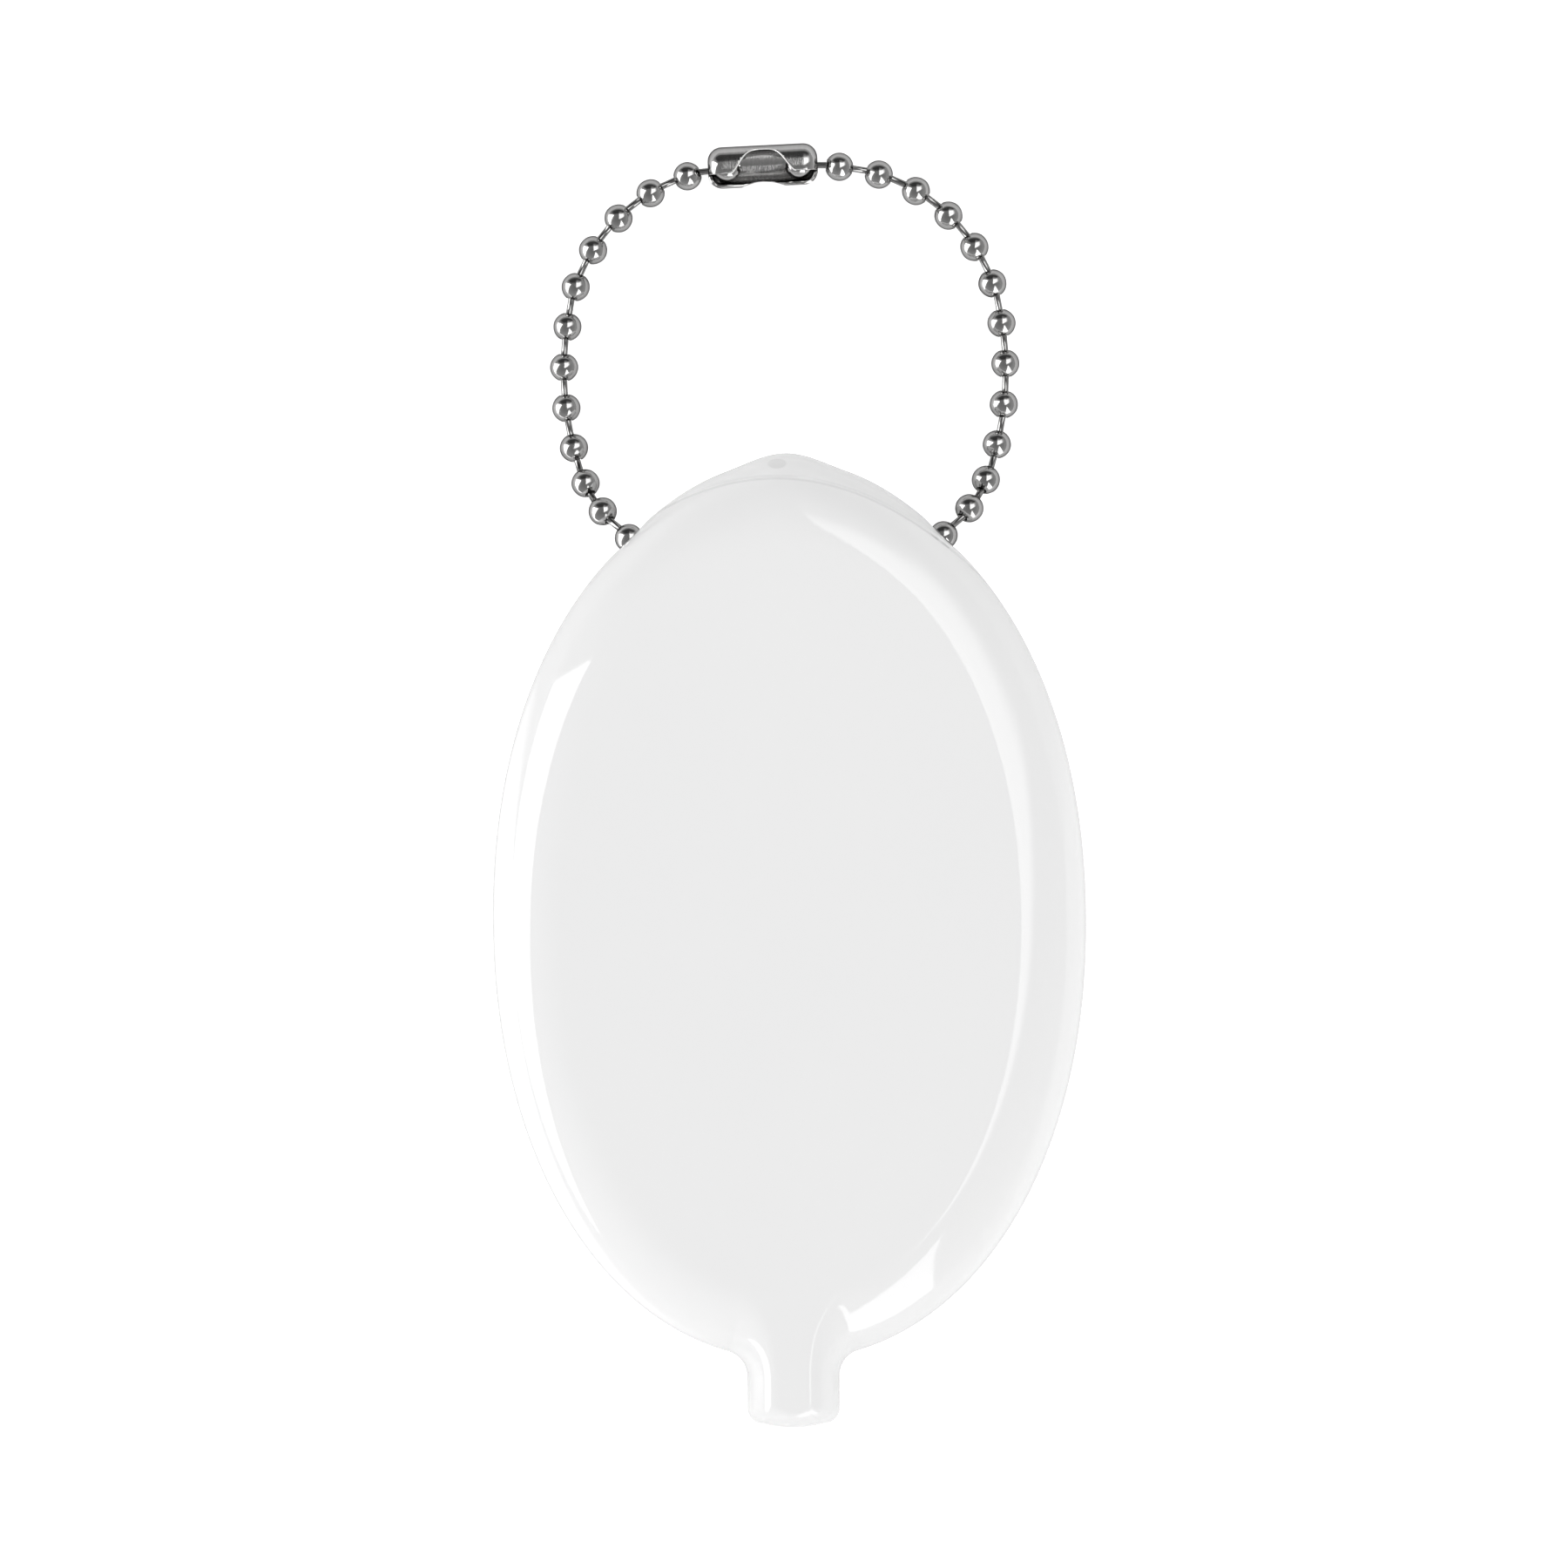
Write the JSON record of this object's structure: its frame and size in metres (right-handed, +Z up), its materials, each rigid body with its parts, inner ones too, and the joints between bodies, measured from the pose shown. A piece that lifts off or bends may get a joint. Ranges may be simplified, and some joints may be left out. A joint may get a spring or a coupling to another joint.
{
  "type": "squeeze coin purse with ball chain",
  "caption": "Oval soft vinyl pocket with a pointed tip, a short neck and a slit mouth in its back, hung on a closed ball chain that runs through the rim.",
  "frame": {"origin": "middle of the oval on the plane that its back lies on, which is the middle of the mouth's slit", "axes": "+Y along the purse towards its tip and chain, +Z up out of the front face, +X across"},
  "size_m": [0.05, 0.1084, 0.0116],
  "materials": {
    "vinyl": "soft glossy moulded vinyl",
    "nickel": "polished nickel plate on thin steel"
  },
  "bodies": {
    "purse": {"purse_shell": "vinyl", "inner_balls": "nickel", "inner_links": "nickel"},
    "left_lip": {"left_lip": "vinyl"},
    "right_lip": {"right_lip": "vinyl"},
    "chain_1": {"left_ball_1": "nickel", "right_ball_1": "nickel", "left_link_1": "nickel", "right_link_1": "nickel", "left_ball_2": "nickel", "right_ball_2": "nickel", "left_link_2": "nickel", "right_link_2": "nickel", "left_ball_3": "nickel", "right_ball_3": "nickel", "left_link_3": "nickel", "right_link_3": "nickel", "left_ball_4": "nickel", "right_ball_4": "nickel", "left_link_4": "nickel", "right_link_4": "nickel"},
    "chain_2": {"left_ball_5": "nickel", "right_ball_5": "nickel", "left_link_5": "nickel", "right_link_5": "nickel", "left_ball_6": "nickel", "right_ball_6": "nickel", "left_link_6": "nickel", "right_link_6": "nickel", "left_ball_7": "nickel", "right_ball_7": "nickel", "left_link_7": "nickel", "right_link_7": "nickel"},
    "chain_3": {"left_ball_8": "nickel", "right_ball_8": "nickel", "left_link_8": "nickel", "right_link_8": "nickel", "left_ball_9": "nickel", "right_ball_9": "nickel", "left_link_9": "nickel", "right_link_9": "nickel", "left_ball_10": "nickel", "right_ball_10": "nickel", "left_link_10": "nickel", "right_link_10": "nickel"},
    "chain_4": {"left_ball_11": "nickel", "right_ball_11": "nickel", "left_link_11": "nickel", "right_link_11": "nickel", "left_ball_12": "nickel", "right_ball_12": "nickel", "left_link_12": "nickel", "right_link_12": "nickel", "left_ball_13": "nickel", "right_ball_13": "nickel", "right_link_13": "nickel", "right_ball_14": "nickel"},
    "connector": {"connector": "nickel"}
  },
  "joints": [
    {"name": "chain_lift", "type": "hinge", "parent": "purse", "child": "chain_1", "pos_m": [0.01252, 0.03141, 0.00593], "axis": [1, 0, 0], "range_deg": [0, 20]},
    {"name": "chain_lift_2", "type": "hinge", "parent": "chain_1", "child": "chain_2", "pos_m": [0.01842, 0.04231, 0.0012], "axis": [1, 0, 0], "range_deg": [0, 20]},
    {"name": "chain_curl", "type": "hinge", "parent": "chain_2", "child": "chain_3", "pos_m": [0.01803, 0.05262, 0.0012], "axis": [1, 0, 0], "range_deg": [0, 20]},
    {"name": "chain_curl_2", "type": "hinge", "parent": "chain_3", "child": "chain_4", "pos_m": [0.01221, 0.06098, 0.0012], "axis": [1, 0, 0], "range_deg": [0, 20]},
    {"name": "connector_swivel", "type": "hinge", "parent": "chain_4", "child": "connector", "pos_m": [-0.00172, 0.06375, 0.00176], "axis": [0.9992, 0.041, 0], "continuous": true},
    {"name": "squeeze", "type": "hinge", "parent": "purse", "child": "right_lip", "pos_m": [0.015, 0, 0], "axis": [0, -1, 0], "range_deg": [0, 55], "stiffness_Nm_per_rad": 0.02},
    {"name": "left_squeeze", "type": "hinge", "parent": "purse", "child": "left_lip", "pos_m": [-0.015, 0, 0], "axis": [0, 1, 0], "range_deg": [0, 55], "stiffness_Nm_per_rad": 0.02}
  ],
  "couplings": [
    {"joint": "chain_lift_2", "follows": "chain_lift", "ratio": 1},
    {"joint": "chain_curl_2", "follows": "chain_curl", "ratio": 1},
    {"joint": "left_squeeze", "follows": "squeeze", "ratio": 1}
  ]
}
